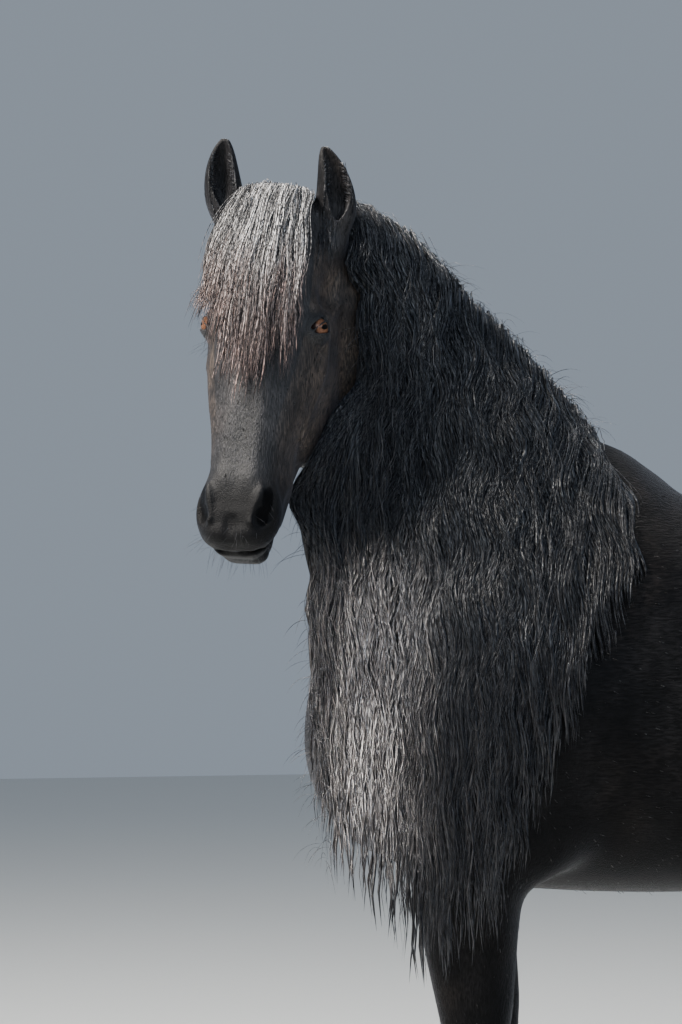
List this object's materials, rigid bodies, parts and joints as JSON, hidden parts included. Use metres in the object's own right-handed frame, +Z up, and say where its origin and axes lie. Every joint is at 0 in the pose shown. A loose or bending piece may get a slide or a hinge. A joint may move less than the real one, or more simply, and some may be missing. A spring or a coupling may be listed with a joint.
{
  "type": "friesian horse",
  "caption": "Life-size museum-style model of a black friesian horse, standing square with its head turned to its left, with long wavy mane, forelock, tail and feathered legs",
  "frame": {"origin": "centre of the model's box on the ground, between the hooves", "axes": "+Z up, +X to the horse's left, the horse faces -Y"},
  "size_m": [0.632, 2.0982, 2.1263],
  "materials": {
    "torso": "short black coat",
    "neck": "short black coat and long mane",
    "head": "short black coat and forelock",
    "ear_left": "short black coat",
    "ear_right": "short black coat",
    "eye_left": "wet brown eye",
    "eye_right": "wet brown eye",
    "tail": "long black hair",
    "fore_left": "short black coat",
    "fore_right": "short black coat",
    "hind_left": "short black coat",
    "hind_right": "short black coat",
    "fore_left_fetlock": "long black feathers",
    "fore_right_fetlock": "long black feathers",
    "hind_left_fetlock": "long black feathers",
    "hind_right_fetlock": "long black feathers",
    "fore_left_hoof": "dark horn",
    "fore_right_hoof": "dark horn",
    "hind_left_hoof": "dark horn",
    "hind_right_hoof": "dark horn"
  },
  "bodies": {
    "root": {"torso": "torso", "neck": "neck", "head": "head", "ear_left": "ear_left", "ear_right": "ear_right", "eye_left": "eye_left", "eye_right": "eye_right", "tail": "tail", "fore_left": "fore_left", "fore_right": "fore_right", "hind_left": "hind_left", "hind_right": "hind_right", "fore_left_fetlock": "fore_left_fetlock", "fore_right_fetlock": "fore_right_fetlock", "hind_left_fetlock": "hind_left_fetlock", "hind_right_fetlock": "hind_right_fetlock", "fore_left_hoof": "fore_left_hoof", "fore_right_hoof": "fore_right_hoof", "hind_left_hoof": "hind_left_hoof", "hind_right_hoof": "hind_right_hoof"}
  },
  "joints": []
}
